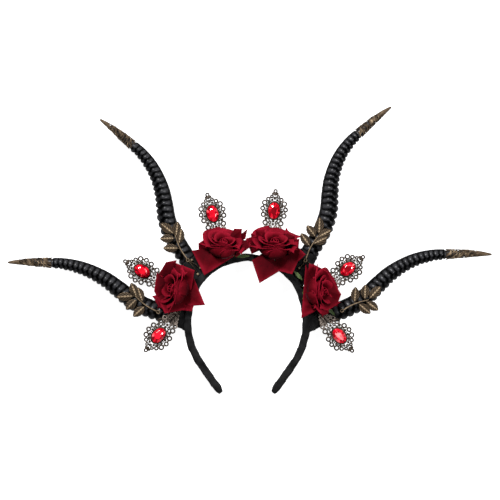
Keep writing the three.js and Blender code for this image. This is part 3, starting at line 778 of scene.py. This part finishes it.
scroll_rows = [
    (outer_scrolls, wire_radius), (inner_scrolls, wire_radius * 0.9), (tail_rings, tail_wire_radius),
]
for name, (*_, seat) in ornament_places.items():
    bm = bmesh.new()
    relief = bm.verts.layers.float.new("relief")
    middle = plate / 2
    for rows, girth in scroll_rows:
        spots = []
        for x, y, radius in rows:
            ring_shine = 1 if y < tail_start else 0.8
            for side in (1, -1):
                centre = (side * x * scroll_unit, y * scroll_unit)
                ring = circle_of(centre, radius * scroll_unit - girth, level=middle)
                add_wire(bm, relief, ring, girth, ring_shine, closed=True, sides=6)
            spots.append(Vector((x * scroll_unit, y * scroll_unit, middle)))
        for start, end in zip(spots, spots[1:]):
            joint = start.lerp(end, 0.5)
            add_grain(bm, relief, joint, girth * 1.25)
            add_grain(bm, relief, Vector((-joint.x, joint.y, joint.z)), girth * 1.25)
    for x, y, radius in middle_rings:
        ring = circle_of((x, y * scroll_unit), radius * scroll_unit - wire_radius, level=middle)
        add_wire(bm, relief, ring, wire_radius, closed=True, sides=6)
    setting = circle_of((0, 0), stone_width / 2 + 0.3, 32, middle, stone_length / stone_width)
    add_wire(bm, relief, setting, setting_wire_radius, closed=True)
    backing = bmesh.ops.create_circle(bm, segments=32, radius=stone_width / 2 + 0.4, cap_ends=True)
    under = backing["verts"]
    bmesh.ops.scale(bm, verts=under, vec=(1, stone_length / stone_width, 1))
    bmesh.ops.translate(bm, verts=under, vec=(0, 0, middle))
    for turn in (45, 135, 225, 315):
        way = leaning(turn)
        claw_across = way.x * (stone_width / 2 + 0.2)
        claw_up = way.y * (stone_length / 2 + 0.2)
        claw = Vector((claw_across, claw_up, middle + 1.6))
        claw_foot = claw - Vector((0, 0, 1.8))
        claw_end = claw - way * 1.1 + Vector((0, 0, 0.7))
        add_wire(bm, relief, [claw_foot, claw, claw_end], claw_wire_radius)
    lattice = ornament_place(name)
    bm.transform(lattice)
    if seat is not None:
        tail = lattice @ Vector((0, tail_ring_place * ornament_length - 1.2, middle))
        foot = band_at(seat)[0]
        foot.z = tail.z
        way = (foot - tail).normalized()
        post = bmesh.ops.create_cube(bm, size=1)["verts"]
        length = (foot - tail).length - band_thickness / 2 + 2
        bmesh.ops.scale(bm, verts=post, vec=(post_width, length, post_thickness))
        bmesh.ops.rotate(bm, verts=post, matrix=Matrix.Rotation(math.atan2(-way.x, way.y), 3, "Z"))
        bmesh.ops.translate(bm, verts=post, vec=tail + way * (length / 2 - 1))
        for vert in post:
            vert[relief] = post_shine
    ornament = mesh_piece(f"wire_filigree_{name}", bm, filigree_material)
    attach(ornament, "root")
    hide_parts(f"filigree_{name}")

# Stones
# Oval cut stones of clear red resin over foil: a flat table, a crown of facets and a back that narrows.
# Each lies in its setting and is held by four claws.
stone_height = 4.6
stone_sides = 12
stone_table_share = 0.3
stone_crown_share = 0.6
stone_back_taper = 0.85
slant_facet = 0.9
table_facet = 0.7
painted_glow = 0.5
# The facets' dark and light reds are painted shade and painted sparkle, and the pink stop is a painted
# highlight. The emission is a painted glow of the foil.
stone_painted_facet_colours = (
    (0.15, (0.12, 0.0, 0.003)), (0.6, (0.55, 0.001, 0.012)), (0.85, (0.8, 0.01, 0.03)),
    (1.0, (1.0, 0.35, 0.35)),
)
painted_glow_colours = (0.3, (0.0, 0.0, 0.0)), (1.0, (0.35, 0.01, 0.02))

stone_material, stone_shader, place = new_material("red_cut_resin", {
    "Specular IOR Level": 0.35, "Coat Weight": 0.3, "Coat Roughness": 0.03,
    "Emission Strength": painted_glow,
})
depth = place.noise(230.0, 2.0)
# Painted light per facet: some facets painted bright, others painted dark.
painted_facet_light = place.attribute("facet") * 0.75 + depth * 0.35
connect(stone_shader, {
    "Base Color": painted_facet_light.ramp(*stone_painted_facet_colours),
    "Roughness": 0.08 + depth * 0.06,
    "Emission Color": painted_facet_light.ramp(*painted_glow_colours),
    "Normal": depth.bump(0.15, 0.5),
})


def cut_facets(bm, edges, width):
    """Cuts a flat facet along each edge."""
    bmesh.ops.bevel(
        bm, geom=edges, offset=width, offset_type="OFFSET", affect="EDGES", segments=1, profile=0.5,
        material=-1,
    )


for name in ornament_places:
    cutter = random.Random(name)
    bm = bmesh.new()
    bmesh.ops.create_cone(
        bm, segments=stone_sides, radius1=stone_width / 2, radius2=stone_width * stone_table_share,
        depth=stone_height * stone_crown_share, cap_ends=True,
    )
    slants = [edge for edge in bm.edges if abs(edge.verts[0].co.z - edge.verts[1].co.z) > 0.1]
    cut_facets(bm, slants, slant_facet)
    table_level = stone_height * 0.29
    table_edges = [edge for edge in bm.edges if all(vert.co.z > table_level for vert in edge.verts)]
    cut_facets(bm, table_edges, table_facet)
    bmesh.ops.scale(bm, verts=bm.verts, vec=(1, stone_length / stone_width, 1))
    bmesh.ops.translate(bm, verts=bm.verts, vec=(0, 0, stone_height * (1 - stone_crown_share / 2)))
    girdle = [face for face in bm.faces if face.normal.z < -0.9]
    made = bmesh.ops.extrude_face_region(bm, geom=girdle)["geom"]
    lower = [item for item in made if isinstance(item, bmesh.types.BMVert)]
    bmesh.ops.translate(bm, verts=lower, vec=(0, 0, -stone_height * (1 - stone_crown_share)))
    bmesh.ops.scale(bm, verts=lower, vec=(stone_back_taper, stone_back_taper, 1))
    bmesh.ops.delete(bm, geom=girdle, context="FACES")
    facets = bm.faces.layers.float.new("facet")
    for face in bm.faces:
        face[facets] = cutter.random()
    bmesh.ops.recalc_face_normals(bm, faces=bm.faces)
    bm.transform(ornament_place(name) @ Matrix.Translation((0, 0, plate + clearance)))
    stone = mesh_piece(f"cut_stone_{name}", bm, stone_material, smooth=False)
    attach(stone, "root")
    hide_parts(f"stone_{name}")

# Roses
# Four cloth roses in crimson velvet. Each layer is one cut of cloth with square petals that is gathered
# on the stem and pressed into a cup; the heart is a rolled strip and the outermost petals lie open.
rose_radius = 32
rose_height = 27
rose_standoff = 3
rose_tilt = 48
petal_belly_place = 0.55
petal_curl_place = 0.8
petal_wave = 1.5
open_petal_wave = 2.4
cloth_thickness = 0.5
# Open petals: foot, left corner, tip, right corner, level of the foot, lift of the tip.
rose_places = {
    "upper_left": {
        "seat": 0.433, "turn": 10, "bloom": 0.94, "cut": (0.078, 0.058), "area": 0.0022,
        "open_petals": [
            ((-33, 12), (-60.2, 7.5), (-46.5, -19.6), (-14, 1.5), 31, 9),
            ((-25, 12), (-12, 0), (3.5, 11.5), (3.8, 20.8), 32.5, 7),
            ((-35, 13.6), (-52.8, 4.8), (-53.1, 15.4), (-38.5, 25), 30, 7),
            ((-22, 18), (-6.5, 21), (-5.4, 31.4), (-14, 31.5), 29.5, 8),
            ((-19, 16), (-2, 20), (0.8, 31.4), (-7, 25), 28.5, 7),
        ],
    },
    "upper_right": {
        "seat": 0.572, "turn": 4, "cut": (0.082, 0.068), "area": 0.0029,
        "open_petals": [
            ((25, 8), (5.4, -3), (13.6, -28.4), (35.5, -15), 32, 10),
            ((20, 10), (5, 3.7), (-1.5, 20.5), (9.9, 24), 30.5, 7),
            ((32, 6), (29.7, -13.5), (49.2, -18.2), (57.5, -0.7), 30.5, 8),
            ((35, 4), (53.9, -6), (64.2, 3.2), (54, 13), 30, 6),
            ((36, 15), (51, 15), (52.5, 23.2), (44, 27), 29.5, 8),
            ((37, 12), (56, 8), (57.5, 20.8), (49, 17), 28.5, 7),
            ((23, 15.8), (5.3, 16.9), (4, 26.6), (12, 23), 28.5, 7),
            ((24, 16), (10, 22), (9, 30.2), (18, 31), 29.5, 8),
        ],
    },
    "side_left": {
        "seat": 0.303, "turn": -70, "cut": (0.066, 0.062), "area": 0.0025,
        "open_petals": [
            ((-74, -34), (-73, -54), (-45.6, -52), (-58, -23), 31, 8),
            ((-78, -34), (-61, -36), (-57.2, -14), (-78, -6), 34, 9),
            ((-78, -34), (-98.5, -43.6), (-89.6, -61), (-67, -57), 32, 10),
            ((-71.5, -38), (-77, -57), (-60.3, -58.8), (-55, -44.7), 30, 7),
            ((-85, -29), (-98.5, -16), (-101, -36.5), (-97, -47), 30, 8),
            ((-82.5, -25), (-96.5, -18.3), (-88.5, -5), (-77, -3), 29.5, 8),
        ],
    },
    "side_right": {
        "seat": 0.697, "turn": 86, "cut": (0.062, 0.062), "area": 0.0022,
        "open_petals": [
            ((76, -34), (64.2, -8), (59.2, -66.6), (80.5, -55.7), 32, 9),
            ((80, -36), (71.5, -52.4), (88, -57.8), (102.2, -49), 34, 9),
            ((82, -34), (98, -54), (102.8, -40.3), (94.6, -26), 30, 8),
            ((78, -32), (95.7, -29), (87.5, -15.5), (71.5, -6.8), 30, 8),
            ((84, -38), (65.5, -26), (68, -6.5), (84, -14), 29, 7),
        ],
    },
}
# The three cups. Rim and top are given at the back and at the front of a rose.
petal_layers = [
    {
        "piece": "full_cup", "node": "full_petals", "cut": (0.075, 0.075), "area": 0.0036,
        "petals": 5, "turn": 0, "wrap": 52, "foot": 0.16, "belly": 0.5, "floor": 0.2,
        "rim": (0.8, 0.3), "top": (0.74, 0.97), "curl": 4.5,
    },
    {
        "piece": "middle_cup", "node": "middle_petals", "cut": (0.06, 0.06), "area": 0.0022,
        "petals": 3, "turn": 28, "wrap": 78, "foot": 0.12, "belly": 0.37, "floor": 0.28,
        "rim": (0.6, 0.21), "top": (0.9, 1.05), "curl": 3.4,
    },
    {
        "piece": "inner_cup", "node": "inner_petals", "cut": (0.045, 0.045), "area": 0.0013,
        "petals": 3, "turn": 84, "wrap": 80, "foot": 0.1, "belly": 0.26, "floor": 0.38,
        "rim": (0.38, 0.15), "top": (0.99, 1.07), "curl": 2.4,
    },
]
heart_turns = 2.1
velvet_colours = (
    (0.36, (0.01, 0.0, 0.001)), (0.66, (0.078, 0.001, 0.004)), (1.0, (0.23, 0.005, 0.017))
)

velvet_material, velvet_shader, place = new_material("crimson_velvet", {
    "Specular IOR Level": 0.03, "Sheen Weight": 0.06, "Sheen Roughness": 0.3,
    "Sheen Tint": (0.85, 0.06, 0.16, 1),
})
nap = place.noise(420.0, 5.0)
shade = place.noise(45.0, 3.0)
# The velvet's colour carries painted light: painted shade deep in the cups and painted highlights at the
# rims and edges of the petals.
painted_rim_light_and_shade = place.attribute("relief")
connect(velvet_shader, {
    "Base Color": (shade * 0.45 + nap * 0.2 + painted_rim_light_and_shade * 0.6).ramp(*velvet_colours),
    "Roughness": nap * 0.2 + 0.65,
    "Normal": (nap * 0.7 + place.noise(1800.0) * 0.3).bump(0.4, 0.35),
})


def rose_place(name):
    """The rose's own frame: its axis is +Z and +Y is the side turned away from the viewer."""
    row = rose_places[name]
    point, run = band_at(row["seat"])
    base = point + outward_of(run) * (band_thickness / 2 + clearance + rose_standoff)
    base.z = band_depth - clearance
    away = leaning(row["turn"])
    tilt = math.radians(rose_tilt)
    axis = away * math.sin(tilt) + Vector((0, 0, math.cos(tilt)))
    back = away * math.cos(tilt) - Vector((0, 0, math.sin(tilt)))
    across = back.cross(axis)
    turned = Matrix((across, back, axis)).transposed().to_4x4()
    return Matrix.Translation(base) @ turned @ Matrix.Scale(row.get("bloom", 1), 4)


def add_petal(bm, relief, turn, layer, seed):
    """One square petal of a cup. It closes over the heart in front and its rim rolls out behind."""
    foot, belly = layer["foot"] * rose_radius, layer["belly"] * rose_radius
    floor = layer["floor"] * rose_height
    made = bmesh.ops.create_grid(bm, x_segments=22, y_segments=18, size=1)["verts"]
    for vert in made:
        u, t = vert.co.x, (vert.co.y + 1) / 2
        angle = math.radians(turn + u * layer["wrap"] * (0.6 + 0.4 * t**0.5))
        front = ((1 - math.cos(angle)) / 2) ** 1.6
        rim = (layer["rim"][0] + (layer["rim"][1] - layer["rim"][0]) * front) * rose_radius
        top = (layer["top"][0] + (layer["top"][1] - layer["top"][0]) * front) * rose_height
        if t < petal_belly_place:
            radius = foot + (belly - foot) * math.sin(math.pi / 2 * t / petal_belly_place) ** 0.8
        else:
            past_belly = (t - petal_belly_place) / (1 - petal_belly_place)
            radius = belly + (rim - belly) * past_belly**1.3
        past_curl = max(0, (t - petal_curl_place) / (1 - petal_curl_place))
        roll = past_curl**2 * layer["curl"] * (1 - 0.3 * front)
        wave = noise.noise(Vector((u * 1.5 + seed * 7, t * 1.6, seed * 3))) * petal_wave
        corner = (abs(u) * t) ** 9
        radius += u * belly * 0.1 + roll + wave * 1.8 * t + corner * layer["curl"] * 1.1
        height = floor + (top - floor) * t - roll * 0.55 + wave * 1.5 * t
        height += rose_height * 0.1 * (0.5 - abs(u)) * t * t
        # Painted shade deep at the foot of the petal, growing lighter toward the rim.
        vert[relief] = 0.15 + 0.85 * t * t
        vert.co = Vector((math.sin(angle) * radius, math.cos(angle) * radius, height))


def add_open_petal(bm, relief, petal, seed):
    """One square petal that lies open: its foot is at the stem and its three corners are as seen."""
    made = bmesh.ops.create_grid(bm, x_segments=18, y_segments=18, size=1)["verts"]
    foot, left, tip, right = (Vector(corner) for corner in petal[:4])
    level, lift = petal[4:]
    for vert in made:
        a, b = (vert.co.x + 1) / 2, (vert.co.y + 1) / 2
        spot = foot * (1 - a) * (1 - b) + left * a * (1 - b) + tip * a * b + right * (1 - a) * b
        wave = noise.noise(Vector((spot.x, spot.y, seed * 9)) / 11)
        fold = abs(a - b)
        edge = max(a, b) ** 8
        height = level + lift * (a + b) / 2 * (1 - 0.9 * fold) + wave * open_petal_wave * (a + b) / 2
        height += edge * 1.1 - a * b * 2.5
        # Painted highlight along the far edges and toward the tip.
        vert[relief] = 0.35 + 0.5 * edge + 0.15 * a * b
        vert.co = Vector((spot.x, spot.y, height))


def cloth_piece(name, bm):
    """A piece of velvet, with the cloth's thickness."""
    piece = mesh_piece(name, bm, velvet_material)
    wall = piece.modifiers.new("wall", "SOLIDIFY")
    wall.thickness = cloth_thickness * mm
    return piece


for name, row in rose_places.items():
    stand = rose_place(name)
    chooser = random.Random(name)

    bm = bmesh.new()
    relief = bm.verts.layers.float.new("relief")
    for petal in row["open_petals"]:
        add_open_petal(bm, relief, petal, chooser.random())
    outer = cloth_piece(f"rose_{name}_open_petals", bm)
    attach(outer, "root")
    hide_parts(f"rose_{name}_outer_petals")

    for layer in petal_layers:
        bm = bmesh.new()
        relief = bm.verts.layers.float.new("relief")
        for k in range(layer["petals"]):
            turn = layer["turn"] + 360 / layer["petals"] * k + chooser.uniform(-12, 12)
            add_petal(bm, relief, turn, layer, k + chooser.random())
        bm.transform(stand)
        cup = cloth_piece(f"rose_{name}_{layer['piece']}", bm)
        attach(cup, "root")
        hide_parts(f"rose_{name}_{layer['node']}")

    bm = bmesh.new()
    relief = bm.verts.layers.float.new("relief")
    roll = bmesh.ops.create_grid(bm, x_segments=90, y_segments=8, size=1)["verts"]
    for vert in roll:
        u, t = (vert.co.x + 1) / 2, (vert.co.y + 1) / 2
        angle = u * math.tau * heart_turns
        radius = 0.8 + 4.8 * u + 0.9 * math.sin(math.pi * t) - 1.2 * t**3 * (1 - u)
        height = rose_height * (0.54 + 0.44 * t - 0.05 * u * t) + 0.9 * math.sin(angle * 1.5) * t
        # Painted shade at the bottom of the roll, growing lighter toward its top.
        vert[relief] = t
        vert.co = Vector((math.sin(angle) * radius, math.cos(angle) * radius, height))
    bm.transform(stand)
    heart = cloth_piece(f"rose_{name}_rolled_heart", bm)
    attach(heart, "root")
    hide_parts(f"rose_{name}_heart")

# Calyxes
# Under each rose a moulded green cup with five narrow sepals grips the petals, on a stub of stem that is
# glued to the band.
calyx_radius = 5
calyx_sides = 60
calyx_steps = 14
sepal_count = 5
sepal_length = 19
sepal_drop = 36
loose_leaf_width = 4
loose_leaf_thickness = 0.4
calyx_colours = (0.25, (0.018, 0.04, 0.01)), (0.75, (0.085, 0.13, 0.035))
# The two ends of each leaf: the one by the stem first.
loose_leaves = {
    "upper_left": [((-26, 1, 25.5), (3, 1.5, 26))],
    "upper_right": [((45, -8, 27), (61, -25, 26))],
    "side_right": [((78, -46, 27), (96.5, -63.5, 26))],
}

calyx_material, calyx_shader, place = new_material("calyx_green", {"Specular IOR Level": 0.35})
veins = place.noise(300.0, 3.0)
connect(calyx_shader, {
    "Base Color": veins.ramp(*calyx_colours),
    "Roughness": veins * 0.2 + 0.5,
    "Normal": veins.bump(0.4, 0.4),
})


def add_leaf_blade(bm, start, end):
    """A narrow leaf of green cloth on its stalk, from one point to the other."""
    made = bmesh.ops.create_grid(bm, x_segments=4, y_segments=16, size=1)["verts"]
    way = end - start
    side = way.cross(Vector((0, 0, 1))).normalized()
    for vert in made:
        u, t = vert.co.x, (vert.co.y + 1) / 2
        half = loose_leaf_width / 2 * (0.12 + 0.88 * math.sin(math.pi * max(0, t - 0.4) / 0.6))
        vert.co = start + way * t + side * u * half + Vector((0, 0, 0.8 * abs(u)))
    blade = dict.fromkeys(face for vert in made for face in vert.link_faces)
    bmesh.ops.solidify(bm, geom=list(blade), thickness=loose_leaf_thickness)


for name in rose_places:
    stand = rose_place(name)

    def calyx_corner(share, angle):
        sepal = max(0, math.cos(angle * sepal_count)) * (0.75 + 0.25 * math.cos(angle))
        past_cup = max(0, share - 0.5)
        radius = calyx_radius * (0.7 + 0.5 * share)
        radius += past_cup * 2 * sepal * (sepal_length - calyx_radius)
        height = -calyx_radius * 1.4 + share * (calyx_radius * 1.4 + 4.6)
        height -= sepal * past_cup**2 * sepal_drop
        return stand @ Vector((math.sin(angle) * radius, math.cos(angle) * radius, height))

    bm = tube(calyx_sides, calyx_steps, calyx_corner)
    for start, end in loose_leaves.get(name, []):
        add_leaf_blade(bm, Vector(start), Vector(end))
    calyx = mesh_piece(f"rose_{name}_green_calyx", bm, calyx_material)
    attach(calyx, "root")
    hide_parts(f"rose_{name}_calyx")
